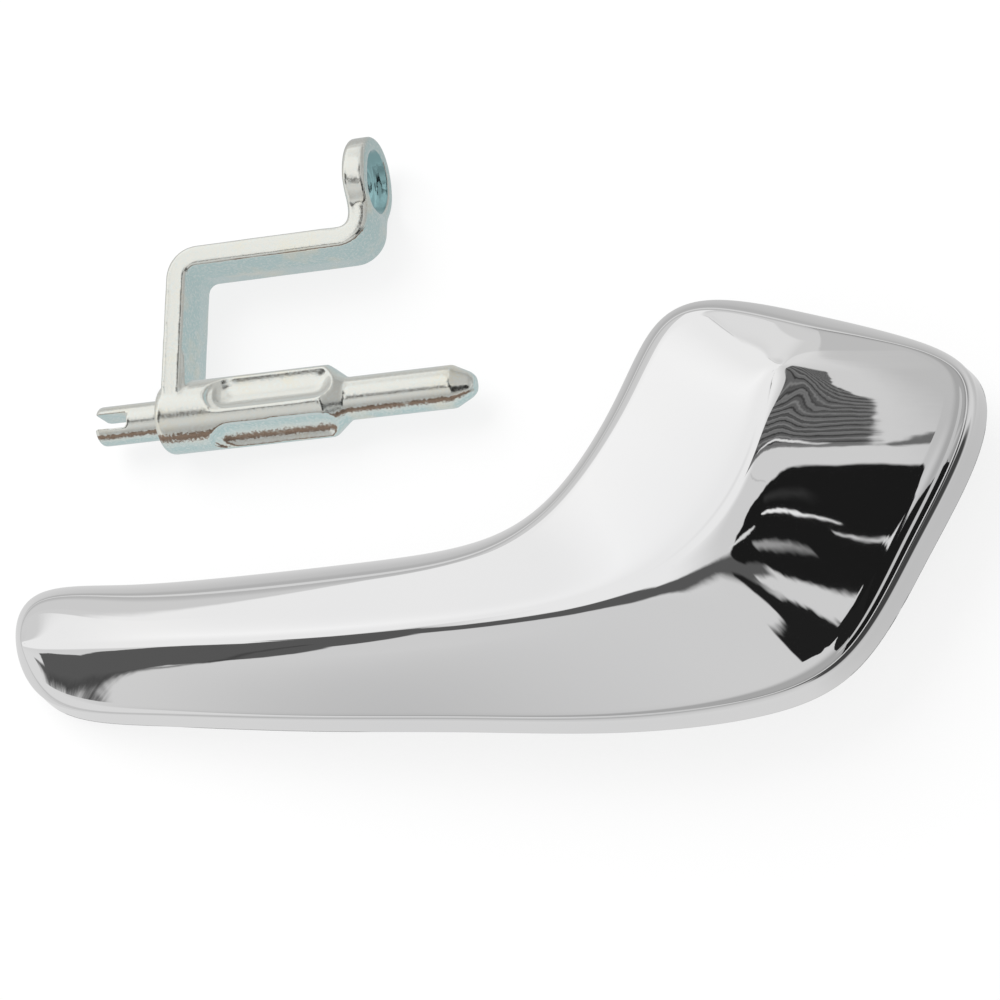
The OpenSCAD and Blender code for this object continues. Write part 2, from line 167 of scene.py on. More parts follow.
def skin_rings(steps, inset, drop, walls, rolls, faces, lip=0.0):
    """Rings of points from the rim to the ridge: an array of ring, station, xyz."""
    controls = outline_controls()
    rows = len(controls)
    p = spline_loop(controls, steps)
    ridge = ridge_controls()
    q = spline_loop(np.array([ridge[j if j <= rows // 2 else rows - j] for j in range(rows)]), steps)
    # The inner skins' ridge stops short of the grip's end, to leave room for its end wall
    q[:, 0] = np.maximum(q[:, 0], 2 - GRIP_REACH + 4 * inset)
    run = np.roll(p[:, :2], -1, 0) - np.roll(p[:, :2], 1, 0)
    run /= np.linalg.norm(run, axis=1)[:, None]
    inward = np.stack([run[:, 1], -run[:, 0]], 1)
    foot = p[:, :2] + inward * inset
    away = q[:, :2] - foot
    ray = away / np.linalg.norm(away, axis=1)[:, None]
    skew = (ray * inward).sum(1)
    edge = p[:, 3] - drop
    wall = np.minimum(p[:, 2] - 0.4 * drop, p[:, 3] - 1.25 * drop)
    start = foot + ray * (wall * math.tan(math.radians(DRAFT)) / skew)[:, None]
    span = np.linalg.norm(q[:, :2] - start, axis=1)
    roll = np.minimum(np.maximum(p[:, 4] - drop, 0.6) / skew, 0.93 * span)
    top = q[:, 2] - drop
    rings = []

    def ring(xy, height):
        rings.append(np.column_stack([xy, rim_z(xy[:, 0]) + height]))

    # A broken edge where the wall meets the rim
    side = 1 if inset == 0 else -1
    for k in range(3 if lip else 0):
        a = math.radians(45 * k)
        ring(foot + inward * (side * lip * (1 - math.sin(a))), lip * (1 - math.cos(a)))
    for k in range(walls):
        t = lerp(lip / wall, 1, k / walls) if k or lip else np.zeros(len(wall))
        ring(foot + (start - foot) * np.asarray(t)[:, None], wall * t)
    for k in range(rolls + 1):
        a = math.radians(90 * k / rolls)
        d = roll * (1 - math.cos(a))
        ring(start + ray * d[:, None], wall + (face_h(span - d, span, edge, top, q[:, 3]) - wall) * math.sin(a))
    for k in range(1, faces + 1):
        d = span - (span - roll) * (1 - k / faces) ** 1.4
        ring(start + ray * d[:, None], face_h(span - d, span, edge, top, q[:, 3]))
    return np.array(rings)


def mesh_object(name, vertices, faces, smooth=True):
    mesh = bpy.data.meshes.new(name)
    mesh.from_pydata([tuple(v) for v in vertices], [], faces)
    mesh.validate()
    mesh.polygons.foreach_set("use_smooth", [smooth] * len(mesh.polygons))
    thing = bpy.data.objects.new(name, mesh)
    bpy.context.scene.collection.objects.link(thing)
    return thing


def tidy_mesh(thing, weld):
    """Welds points that lie together and turns all faces outwards."""
    bm = bmesh.new()
    bm.from_mesh(thing.data)
    bmesh.ops.remove_doubles(bm, verts=bm.verts, dist=weld * MM)
    bmesh.ops.recalc_face_normals(bm, faces=bm.faces)
    bm.to_mesh(thing.data)
    bm.free()


def sheet_faces(rings, stations):
    quads = []
    for r in range(rings - 1):
        for i in range(stations):
            j = (i + 1) % stations
            quads.append((r * stations + i, r * stations + j, (r + 1) * stations + j, (r + 1) * stations + i))
    return quads


def make_shell():
    """The moulded wall: inner skin, rim and outer skin as one closed sheet."""
    steps = 18
    outer = skin_rings(steps, 0, 0, 4, 16, 44, lip=0.25)
    inner = skin_rings(steps, WALL_T, WALL_T, 3, 6, 20, lip=0.25)
    rings = np.concatenate([inner[::-1], outer])
    stations = outer.shape[1]
    shell = mesh_object("handle_chrome", rings.reshape(-1, 3) * MM, sheet_faces(len(rings), stations))
    tidy_mesh(shell, 0.0005)
    return shell


def make_core():
    """A solid up to the middle of the wall, for trimming the ribs."""
    steps = 4
    rings = skin_rings(steps, WALL_T / 2, WALL_T / 2, 1, 3, 6)
    skirt = rings[0] - np.array([0, 0, 3.0])
    stations = rings.shape[1]
    stack = np.concatenate([skirt[None], rings])
    faces = sheet_faces(len(stack), stations)
    faces.append(tuple(reversed(range(stations))))
    core = mesh_object("core", stack.reshape(-1, 3) * MM, faces)
    tidy_mesh(core, 0.0005)
    return core


def block(low, high):
    """A plain box between two corners, used only to cut and to trim."""
    corners = [(x, y, z) for z in (low[2], high[2]) for y in (low[1], high[1]) for x in (low[0], high[0])]
    faces = [(0, 2, 3, 1), (4, 5, 7, 6), (0, 1, 5, 4), (2, 6, 7, 3), (0, 4, 6, 2), (1, 3, 7, 5)]
    return mesh_object("block", np.array(corners) * MM, faces, smooth=False)


def prism_y(section, y0, y1, chamfer=0.0):
    """Section points in XZ, drawn along Y, with chamfered ends."""
    section = np.array(section, float)
    n = len(section)
    inner = section * (1 - chamfer / np.abs(section).max())
    levels = [(y0, section), (y1, section)]
    if chamfer:
        levels = [(y0, inner), (y0 + chamfer, section), (y1 - chamfer, section), (y1, inner)]
    points = [(x, y, z) for y, ring in levels for x, z in ring]
    faces = sheet_faces(len(levels), n)
    faces += [tuple(reversed(range(n))), tuple(range((len(levels) - 1) * n, len(levels) * n))]
    thing = mesh_object("prism", np.array(points) * MM, faces)
    tidy_mesh(thing, 0.0)
    return thing


def circle(radius, n=96):
    return [(radius * math.cos(2 * math.pi * k / n), radius * math.sin(2 * math.pi * k / n)) for k in range(n)]


def key_section(gap):
    """Section across the driving flats, in XZ."""
    r = SHAFT_D / 2 + gap
    half = KEY_FLAT / 2 + gap
    points = []
    for x, z in circle(r, 144):
        a = math.radians(KEY_TURN)
        u, v = x * math.cos(a) - z * math.sin(a), x * math.sin(a) + z * math.cos(a)
        u, v = max(-half, min(half, u)), max(-half, min(half, v))
        points.append((u * math.cos(a) + v * math.sin(a), v * math.cos(a) - u * math.sin(a)))
    return points


def apply_modifiers(thing):
    """Makes the modifiers' result the thing's own mesh."""
    bpy.context.view_layer.update()
    graph = bpy.context.evaluated_depsgraph_get()
    mesh = bpy.data.meshes.new_from_object(thing.evaluated_get(graph))
    thing.modifiers.clear()
    old, thing.data = thing.data, mesh
    bpy.data.meshes.remove(old)


def boolean(target, others, operation):
    """Applies one exact boolean after another and removes the tools."""
    for other in others:
        cut = target.modifiers.new("cut", "BOOLEAN")
        cut.operation = operation
        cut.solver = "MANIFOLD"
        cut.object = other
        apply_modifiers(target)
        bpy.data.objects.remove(other)
    return target


def make_ribs():
    """The ribs of the hollow back, trimmed to the middle of the wall."""
    slabs = []
    ribs = int((GRIP_REACH - NECK_REACH + 8) // RIB_PITCH)
    for n in range(1, ribs + 1):
        x = 8 - NECK_REACH - RIB_PITCH * (n - 0.5)
        slabs.append(block((x - RIB_T / 2, -FAR, float(rim_z(x)) + RIB_RECESS), (x + RIB_T / 2, FAR, FAR)))
    web_x = BOSS_R - 1.2 * RIB_T
    for side in (-1, 1):
        x = side * web_x
        slabs.append(block((x - RIB_T / 2, BOSS_START + 0.4, 0.5), (x + RIB_T / 2, BOSS_START + BOSS_LEN - 0.4, FAR)))
    for y in (BOSS_START + 0.7, BOSS_START + BOSS_LEN - RIB_T - 0.7):
        slabs.append(block((-FAR, y, RIM_LIFT + RIB_RECESS), (FAR, y + RIB_T, FAR)))
    slabs.append(block((0.3 - BOSS_R, -EAR_T / 2, 0.5), (BOSS_R - 0.3, EAR_T / 2, FAR)))
    core = make_core()
    first, rest = slabs[0], slabs[1:]
    boolean(first, rest, "UNION")
    boolean(first, [core], "INTERSECT")
    return first


def make_handle():
    """The handle's moulding: shell, ribs, boss and ear, less the bores and the way in for the lever's stub."""
    handle = make_shell()
    boss = prism_y(circle(BOSS_R), BOSS_START, BOSS_START + BOSS_LEN, 0.25)
    ear = prism_y(circle(BOSS_R), -EAR_T / 2, EAR_T / 2, 0.25)
    boolean(handle, [make_ribs(), boss, ear], "UNION")
    notch_r = FORK_D / 2 + 1
    y = BOSS_START + BOSS_LEN + 1
    cutters = [
        prism_y(circle(PIN_D / 2 + RUN_GAP), -EAR_T, EAR_T),
        prism_y(key_section(KEY_GAP), BOSS_START - 1, BOSS_START + BOSS_LEN + 1),
        prism_y(circle(notch_r), y, y + FAR),
        block((-notch_r, y, -FAR), (notch_r, y + FAR, 0)),
    ]
    boolean(handle, cutters, "DIFFERENCE")
    handle.data.set_sharp_from_angle(angle=math.radians(32))
    return handle


def lay_lever():
    """The lever's own frame: along the shaft, along the arm's legs, and across."""
    reach = SHOULDER_LEN + KEY_LEN + CONE_LEN + PIN_LEN + TIP_LEN
    tilt = math.asin((EYE_D / 2 + EYE_WALL - SHAFT_D / 2) / EYE_OFF)
    place = Vector((-NECK_REACH - LEVER_BACK - reach, GRIP_TOP + LEVER_GAP + SHAFT_D / 2, FLOOR_Z + SHAFT_D / 2))
    turn = Matrix.Rotation(math.radians(LEVER_TURN), 4, "Z") @ Matrix.Rotation(tilt, 4, "X")
    return Matrix.Translation(place * MM) @ turn


def ring_solid(profile, steps=64):
    """Turns a closed profile of (along, radius) about X."""
    n = len(profile)
    points = [(x, r * y, r * z) for y, z in circle(1, steps) for x, r in profile]
    faces = []
    for k in range(steps):
        j = (k + 1) % steps
        for i in range(n):
            m = (i + 1) % n
            faces.append((k * n + i, k * n + m, j * n + m, j * n + i))
    thing = mesh_object("ring", np.array(points) * MM, faces)
    tidy_mesh(thing, 0.0)
    return thing


def flute(angle):
    """A spoon-shaped flute along the shaft, one of the four that drive the handle."""
    steps, around = 24, 32
    start, end = SHOULDER_LEN + FLUTE_START, SHOULDER_LEN + KEY_LEN + FLUTE_END
    rings = []
    for k in range(steps + 1):
        t = k / steps
        # Full size for most of its length, closing in a half circle at both ends
        x = lerp(start, end, t)
        near = float(np.clip(min(x - start, end - x) / FLUTE_R, 0, 1))
        size = max(math.sqrt(1 - (1 - near) ** 2), 0.02)
        rings.append([(x, FLUTE_R * size * z, FLUTE_AT + FLUTE_DEEP * size * y) for y, z in circle(1, around)])
    faces = sheet_faces(steps + 1, around)
    faces += [tuple(reversed(range(around))), tuple(range(steps * around, (steps + 1) * around))]
    thing = mesh_object("flute", np.array(rings).reshape(-1, 3) * MM, faces)
    thing.data.transform(Matrix.Rotation(math.radians(angle), 4, "X"))
    tidy_mesh(thing, 0.0)
    return thing


def make_lever():
    """The casting, with the flutes sunk and its edges softened as a die leaves them."""
    lever = bpy.data.objects.new("lever_zinc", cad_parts["lever_pin"].data.copy())
    bpy.context.scene.collection.objects.link(lever)
    tidy_mesh(lever, 0.002)
    laid = lay_lever()
    flutes = [flute(FLUTE_TURN + 90 * k) for k in range(4)]
    bead = ring_solid([(x, EYE_D / 2 + BEAD_SHIFT + r) for x, r in circle(BEAD_R, 16)])
    bead.data.transform(Matrix.Translation(Vector((ARM_REACH - BEAD_SHIFT, EYE_OFF, 0)) * MM))
    for tool in flutes + [bead]:
        tool.data.transform(laid)
    boolean(lever, [bead], "UNION")
    boolean(lever, flutes, "DIFFERENCE")
    remesh = lever.modifiers.new("remesh", "REMESH")
    remesh.mode = "VOXEL"
    remesh.voxel_size = CAST_CELL * MM
    remesh.use_smooth_shade = True
    smooth = lever.modifiers.new("smooth", "SMOOTH")
    smooth.iterations = CAST_PASSES
    apply_modifiers(lever)
    # The neck between the arm and the eye flows more than the rest
    neck = laid @ (Vector((ARM_REACH, EYE_OFF - 0.8 * (EYE_D / 2 + EYE_WALL), 0)) * MM)
    group = lever.vertex_groups.new(name="neck")
    for vertex in lever.data.vertices:
        near = (vertex.co - neck).length / (NECK_SPREAD * MM)
        if near < 1:
            group.add([vertex.index], 1 - near * near, "REPLACE")
    flow = lever.modifiers.new("flow", "SMOOTH")
    flow.vertex_group = "neck"
    flow.iterations = NECK_PASSES
    apply_modifiers(lever)
    lever.vertex_groups.clear()
    lever.data.polygons.foreach_set("use_smooth", [True] * len(lever.data.polygons))
    return lever


class Graph:
    """Short calls for a node tree's arithmetic."""

    def __init__(self, tree):
        self.nodes, self.links = tree.nodes, tree.links

    def plug(self, value, socket):
        if isinstance(value, bpy.types.NodeSocket):
            self.links.new(value, socket)
        else:
            socket.default_value = value

    def math(self, operation, a, b=0.0, c=0.0):
        node = self.nodes.new("ShaderNodeMath")
        node.operation = operation
        for value, socket in zip((a, b, c), node.inputs):
            self.plug(value, socket)
        return node.outputs[0]

    def vector(self, operation, a, b=(0, 0, 0), c=(0, 0, 0)):
        node = self.nodes.new("ShaderNodeVectorMath")
        node.operation = operation
        for value, socket in zip((a, b, c), node.inputs):
            self.plug(value, socket)
        return node.outputs["Value" if operation in ("LENGTH", "DOT_PRODUCT", "DISTANCE") else "Vector"]

    def split(self, vector):
        node = self.nodes.new("ShaderNodeSeparateXYZ")
        self.plug(vector, node.inputs[0])
        return node.outputs

    def join(self, x, y, z=0.0):
        node = self.nodes.new("ShaderNodeCombineXYZ")
        for value, socket in zip((x, y, z), node.inputs):
            self.plug(value, socket)
        return node.outputs[0]

    def fade(self, value, start, end, low=0.0, high=1.0):
        node = self.nodes.new("ShaderNodeMapRange")
        node.interpolation_type = "SMOOTHSTEP"
        for v, name in ((value, "Value"), (start, "From Min"), (end, "From Max"), (low, "To Min"), (high, "To Max")):
            self.plug(v, node.inputs[name])
        return node.outputs["Result"]

    def mix(self, factor, a, b):
        node = self.nodes.new("ShaderNodeMix")
        for v, name in ((factor, "Factor"), (a, "A"), (b, "B")):
            self.plug(v, node.inputs[name])
        return node.outputs["Result"]

    def tint(self, factor, a, b):
        node = self.nodes.new("ShaderNodeMix")
        node.data_type = "RGBA"
        sockets = [x for x in node.inputs if x.enabled]
        for value, socket in zip((factor, a, b), sockets):
            self.plug((*value, 1) if isinstance(value, tuple) else value, socket)
        return next(x for x in node.outputs if x.enabled)

    def background(self, level):
        node = self.nodes.new("ShaderNodeBackground")
        self.plug(level, node.inputs["Strength"])
        node.inputs["Color"].default_value = (1, 1, 1, 1)
        return node.outputs["Background"]

    def emission(self, level):
        node = self.nodes.new("ShaderNodeEmission")
        self.plug(level, node.inputs["Strength"])
        return node.outputs["Emission"]

    def blend(self, factor, a, b):
        node = self.nodes.new("ShaderNodeMixShader")
        for value, socket in zip((factor, a, b), node.inputs):
            self.plug(value, socket)
        return node.outputs["Shader"]

    def noise(self, vector, scale, detail=2.0):
        node = self.nodes.new("ShaderNodeTexNoise")
        self.plug(vector, node.inputs["Vector"])
        node.inputs["Scale"].default_value = scale
        node.inputs["Detail"].default_value = detail
        return node.outputs["Color"]


def node_tree(name):
    material = bpy.data.materials.new(name)
    material.use_nodes = True
    nodes = material.node_tree.nodes
    return material, nodes, material.node_tree.links, nodes["Principled BSDF"]


def texture(nodes, links, kind, **values):
    """A procedural texture laid out in the object's own coordinates."""
    if "ShaderNodeTexCoord" not in {n.bl_idname for n in nodes}:
        nodes.new("ShaderNodeTexCoord")
    source = next(n for n in nodes if n.bl_idname == "ShaderNodeTexCoord")
    tex = nodes.new(kind)
    for key, value in values.items():
        tex.inputs[key].default_value = value
    links.new(source.outputs["Object"], tex.inputs["Vector"])
    return tex


def ramp(nodes, links, factor, stops):
    r = nodes.new("ShaderNodeValToRGB")
    links.new(factor, r.inputs["Fac"])
    while len(r.color_ramp.elements) < len(stops):
        r.color_ramp.elements.new(0.5)
    for element, (place, colour) in zip(r.color_ramp.elements, stops):
        element.position = place
        element.color = (*colour, 1) if len(colour) == 3 else colour
    return r


def grey(v):
    return (v, v, v)


def chrome_material():
    """Bright chrome plating over a moulded skin."""
    material, nodes, links, shader = node_tree("chrome_plate")
    shader.inputs["Metallic"].default_value = 1.0
    # Plating over moulded plastic: a faint haze that varies, and a very shallow flow of the skin
    haze = texture(nodes, links, "ShaderNodeTexNoise", Scale=60.0, Detail=4.0)
    rough = ramp(nodes, links, haze.outputs["Fac"], [(0.3, grey(0.008)), (0.75, grey(0.022))])
    links.new(rough.outputs["Color"], shader.inputs["Roughness"])
    tone = texture(nodes, links, "ShaderNodeTexNoise", Scale=25.0, Detail=2.0)
    colour = ramp(nodes, links, tone.outputs["Fac"], [(0.3, (0.845, 0.845, 0.85)), (0.7, (0.865, 0.862, 0.86))])
    links.new(colour.outputs["Color"], shader.inputs["Base Color"])
    flow = texture(nodes, links, "ShaderNodeTexNoise", Scale=180.0, Detail=2.0)
    bump = nodes.new("ShaderNodeBump")
    bump.inputs["Strength"].default_value = 0.02
    bump.inputs["Distance"].default_value = 0.0002
    links.new(flow.outputs["Fac"], bump.inputs["Height"])
    links.new(bump.outputs["Normal"], shader.inputs["Normal"])
    return material


def zinc_material():
    """Bright zinc with a thin passivate film of random tone, and painted reflected light: cream on faces turned up,
    blue on the sides, and a painted brown reflection on the lower front.
    """
    material, nodes, links, shader = node_tree("zinc_plate")
    shader.inputs["Metallic"].default_value = 1.0
    graph = Graph(material.node_tree)
    coords = graph.nodes.new("ShaderNodeTexCoord")
    place = coords.outputs["Object"]
    front, up = graph.split(coords.outputs["Normal"])[1:3]
    cloud = graph.split(graph.noise(place, 160.0, 4.0))[0]
    speck = graph.split(graph.noise(place, 2600.0, 3.0))[0]
    # Painted reflected light: faces turned up are cream and faces turned sideways are blue, shifted a little by the
    # film's own random cloud
    facing = graph.math("ADD", up, graph.math("MULTIPLY_ADD", cloud, 0.5, -0.25))
    colour = graph.tint(graph.fade(facing, 0.15, 0.75), (0.60, 0.77, 0.77), (0.86, 0.86, 0.80))
    colour = graph.tint(graph.math("MULTIPLY", graph.fade(cloud, 0.52, 0.68), 0.6), colour, (0.88, 0.85, 0.72))
    colour = graph.tint(graph.math("MULTIPLY", graph.fade(speck, 0.46, 0.66), 0.55), colour, (0.86, 0.92, 0.90))
    # Painted shade: inside the eye's bore the colour is darkened to a deeper blue
    eye = lay_lever() @ (Vector((ARM_REACH, EYE_OFF, 0)) * MM)
    bore_r = (EYE_D / 2 + 0.25) * MM
    bore = graph.fade(graph.vector("DISTANCE", place, tuple(eye)), bore_r + 0.15 * MM, bore_r)
    colour = graph.tint(bore, colour, (0.30, 0.50, 0.52))
    # Painted reflection: a dark brown band on faces turned down and forward along the lower front
    slope = graph.math("DIVIDE", up, graph.math("MAXIMUM", graph.math("MULTIPLY", front, -1.0), 0.05))
    run = graph.math("ADD", slope, graph.math("MULTIPLY_ADD", speck, 0.6, -0.3))
    painted_brown_reflection = graph.math("MULTIPLY", graph.fade(run, 0.50, 0.72), graph.fade(run, 1.10, 0.92))
    painted_brown_reflection = graph.math("MULTIPLY", painted_brown_reflection, graph.fade(front, -0.35, -0.5))
    painted_brown_reflection = graph.math("MULTIPLY", painted_brown_reflection, graph.fade(cloud, 0.36, 0.46, 0.35, 0.85))
    painted_brown_reflection = graph.math("MULTIPLY", painted_brown_reflection, graph.math("SUBTRACT", 1.0, bore))
    colour = graph.tint(painted_brown_reflection, colour, (0.21, 0.11, 0.055))
    links.new(colour, shader.inputs["Base Color"])
    grain = graph.math("MULTIPLY_ADD", graph.split(graph.noise(place, 3600.0, 2.0))[0], 0.5, speck)
    graph.plug(graph.fade(speck, 0.3, 0.7, 0.13, 0.24), shader.inputs["Roughness"])
    bump = nodes.new("ShaderNodeBump")
    bump.inputs["Strength"].default_value = 0.16
    bump.inputs["Distance"].default_value = 0.00006
    links.new(grain, bump.inputs["Height"])
    links.new(bump.outputs["Normal"], shader.inputs["Normal"])
    return material


def camera():
    """The camera of the photograph."""
    data = bpy.data.cameras.new("camera")
    data.lens = LENS
    data.sensor_width = 36.0
    data.clip_start = 0.01
    eye = bpy.data.objects.new("camera", data)
    bpy.context.scene.collection.objects.link(eye)
    right = CAMERA_UP.cross(TO_CAMERA).normalized()
    up = TO_CAMERA.cross(right)
    turn = Matrix((right, up, TO_CAMERA)).transposed().to_4x4()
    eye.matrix_world = Matrix.Translation(TARGET + TO_CAMERA * CAMERA_DISTANCE) @ turn
    bpy.context.scene.camera = eye


def direction(azimuth, elevation):
    a, e = math.radians(azimuth), math.radians(elevation)
    return Vector((math.cos(a) * math.cos(e), math.sin(a) * math.cos(e), math.sin(e)))


# What the studio shows by direction, drawn as on a ceiling one unit above the object: white cloth over a
# plain grey room, the dark gap between its sheets, and a black cloth. Each entry is painted over the
# ones before: level, softness, and a run of points with x, y and half width
STROKES = [
    # The far sheet past the grip's end, and the white cloth overhead
    (0.68, 0.15, [(-2.3, 2.3, 0.9), (-4, 4, 2), (-9, 9, 5)]),
    (0.80, 0.12, [(0.12, 0.72, 0.22), (0.05, 1.4, 0.35)]),
    (0.82, 0.25, [(-0.62, 1.9, 0.25), (-0.62, 4.4, 0.45)]),
    (0.94, 0.06, [(-0.95, 1.15, 0.45), (-1.15, 1.7, 0.36), (-1.9, 4.2, 0.55), (-3.2, 9, 1.2)]),
    (0.94, 0.06, [(-0.95, 0.65, 0.45), (-1.7, 0.55, 0.46), (-4, 0.5, 0.6)]),
    (0.94, 0.10, [(-0.16, -0.26, 0.10), (-0.34, 0.02, 0.16), (-0.3, 0.45, 0.25), (-0.62, 0.85, 0.32),
                  (-1.0, 1.3, 0.42)]),
    (1.06, 0.30, [(-1.10, 0.90, 0.15), (-0.85, 1.0, 0.1)]),
    (0.60, 0.010, [(-0.78, 1.75, 0.01), (-0.35, 1.05, 0.005), (0.0, 0.44, 0.001)]),
    # Under the arch of the gap the room shows
    (0.70, 0.04, [(-0.62, -0.35, 0.30), (-0.60, -0.15, 0.22)]),
    # The gap, from the grip's end to the pad, with its darker lower edge
    (0.105, 0.012, [(-2.3, -0.375, 0.01), (-1.97, -0.36, 0.02), (-1.75, -0.265, 0.12), (-1.6, -0.245, 0.14),
                    (-1.48, -0.27, 0.14), (-1.40, -0.30, 0.125), (-1.32, -0.33, 0.135), (-1.22, -0.275, 0.22),
                    (-1.1, -0.235, 0.275), (-1.0, -0.19, 0.30), (-0.9, -0.06, 0.27), (-0.8, -0.04, 0.25),
                    (-0.72, 0.10, 0.17), (-0.66, 0.15, 0.12), (-0.55, 0.05, 0.07), (-0.42, -0.14, 0.07),
                    (-0.34, -0.22, 0.08), (-0.28, -0.29, 0.08), (-0.2, -0.36, 0.06), (-0.1, -0.355, 0.045),
                    (0.0, -0.297, 0.024), (0.07, -0.275, 0.03), (0.12, -0.25, 0.02)]),
    (0.055, 0.02, [(-1.9, -0.37, 0.005), (-1.6, -0.375, 0.005), (-1.40, -0.42, 0.005), (-1.3, -0.48, 0.005),
                   (-1.2, -0.52, 0.008), (-1.08, -0.51, 0.01), (-1.0, -0.46, 0.01), (-0.9, -0.3, 0.01),
                   (-0.74, -0.1, 0.01)]),
    # The black cloth over the pad, with folds that catch the light
    (0.012, 0.004, [(0.08, -0.245, 0.02), (0.12, -0.205, 0.04), (0.19, -0.155, 0.08), (0.27, -0.135, 0.10),
                    (0.34, -0.125, 0.12), (0.42, -0.2, 0.13), (0.6, -0.36, 0.17), (0.9, -0.55, 0.2),
                    (1.7, -0.95, 0.35), (5, -2.9, 1.5), (40, -25, 14)]),
    (0.60, 0.10, [(3.1, 0.4, 0.8), (2.9, -1.0, 0.7), (2.3, -2.0, 0.5)]),
    (0.015, 0.004, [(0.05, -0.303, 0.005), (0.09, -0.31, 0.018), (0.12, -0.315, 0.028), (0.19, -0.295, 0.045),
                    (0.3, -0.27, 0.06), (0.45, -0.33, 0.14), (0.95, -0.8, 0.24), (1.4, -1.2, 0.3)]),
    (0.015, 0.004, [(0.12, -0.335, 0.04), (0.075, -0.358, 0.018), (0.04, -0.378, 0.012)]),
    (0.70, 0.003, [(0.098, -0.281, 0.004), (0.15, -0.257, 0.010), (0.2, -0.231, 0.012), (0.24, -0.21, 0.011),
                   (0.30, -0.178, 0.009), (0.33, -0.155, 0.004)]),
    (0.90, 0.002, [(0.2, -0.126, 0.002), (0.24, -0.112, 0.004), (0.29, -0.1, 0.003), (0.34, -0.085, 0.001)]),
    (0.75, 0.002, [(0.33, -0.101, 0.001), (0.36, -0.092, 0.002), (0.6, -0.2, 0.01)]),
    (0.75, 0.003, [(0.054, -0.226, 0.002), (0.12, -0.187, 0.006), (0.163, -0.159, 0.002)]),
    (0.34, 0.005, [(0.147, -0.205, 0.007), (0.2, -0.182, 0.006), (0.28, -0.146, 0.001)]),
    (0.035, 0.010, [(0.22, -0.085, 0.008), (0.32, -0.06, 0.006)]),
    # Creases in the grey room's wall
    (0.52, 0.003, [(-0.08, 0.105, 0.001), (0.04, 0.035, 0.002), (0.12, -0.005, 0.002), (0.21, -0.035, 0.001)]),
    (0.16, 0.003, [(0.361, 0.038, 0.004), (0.371, 0.048, 0.007), (0.379, 0.072, 0.005)]),
]
# Strokes west and east of this x are worked out apart
DIVIDE = -0.3
# The blind's streak of light, painted over its slats
BLIND_STREAK = (0.80, 0.003, [(-0.1, 0.165, 0.002), (0.04, 0.135, 0.004), (0.2, 0.108, 0.005),
                              (0.31, 0.067, 0.004), (0.338, 0.05, 0.002)])
# Levels of what surrounds the object: for matt things, and of the bare card for polished metal
ROOM_LEVEL, CARD_LEVEL = 0.75, 0.74

# The card under the object, as polished metal sees it: level, softness and points in millimetres
CARD_MARKS = [
    (0.64, 20, [(-110, 36, 16), (20, 60, 16)]),
    (0.50, 40, [(-200, 115, 65), (80, 130, 65)]),
    (0.50, 8, [(34, 34, 9), (14, -20, 9)]),
    (0.45, 60, [(-200, -140, 80), (60, -150, 80)]),
    (0.06, 5, [(48, 8, 12), (34, -22, 12)]),
    (0.30, 40, [(150, 80, 60), (155, 90, 60)]),
    (0.06, 5, [(60, -16, 32), (42, -43, 32)]),
    (0.05, 20, [(160, -60, 80), (60, -110, 50)]),
    (0.55, 2, [(58, 12, 1.5), (53, -4, 2.5), (46, -19, 2.5), (30, -41, 1.5)]),
]


def stroke_mask(graph, place, points, soft):
    """1 inside a run of round-ended strokes whose width changes from point to point, 0 outside."""
    nearest = None
    for (x0, y0, r0), (x1, y1, r1) in zip(points, points[1:]):
        run = Vector((x1 - x0, y1 - y0, 0))
        offset = graph.vector("SUBTRACT", place, (x0, y0, 0))
        along = graph.math("ADD", graph.vector("DOT_PRODUCT", offset, run / run.length_squared), 0.0)
        along.node.use_clamp = True
        foot = graph.join(graph.math("MULTIPLY", along, run.x), graph.math("MULTIPLY", along, run.y))
        away = graph.vector("DISTANCE", offset, foot)
        gap = graph.math("SUBTRACT", away, graph.math("MULTIPLY_ADD", along, r1 - r0, r0))
        nearest = gap if nearest is None else graph.math("MINIMUM", nearest, gap)
    return graph.fade(nearest, soft, -soft)


def paint(graph, place, level, strokes):
    """Lays strokes over a level, one after another."""
    for value, soft, points in strokes:
        # Each stroke waits for the one before, which keeps the shader's working memory small
        waiting = graph.vector("MULTIPLY_ADD", graph.join(level, level), (1e-7, 1e-7, 0), place)
        level = graph.mix(stroke_mask(graph, waiting, points, soft), level, value)
    return level


def wander(graph, place, amount, scale, detail=2.0):
    """The place, moved about a little, so that painted edges aren't ruled lines."""
    noise = graph.vector("SUBTRACT", graph.noise(place, scale, detail), (0.5, 0.5, 0.5))
    shift = graph.vector("SCALE", noise)
    graph.plug(amount, shift.node.inputs["Scale"])
    return graph.vector("ADD", place, shift)


def reaching(strokes, side):
    """The part of each stroke that reaches the west (-1) or the east (1) of the divide."""
    kept = []
    for value, soft, points in strokes:
        pairs = list(zip(points, points[1:]))
        near = [i for i, pair in enumerate(pairs) if max(side * (u - DIVIDE) + r for u, _, r in pair) + soft > 0]
        if near:
            kept.append((value, soft, points[near[0]:near[-1] + 2]))
    return kept


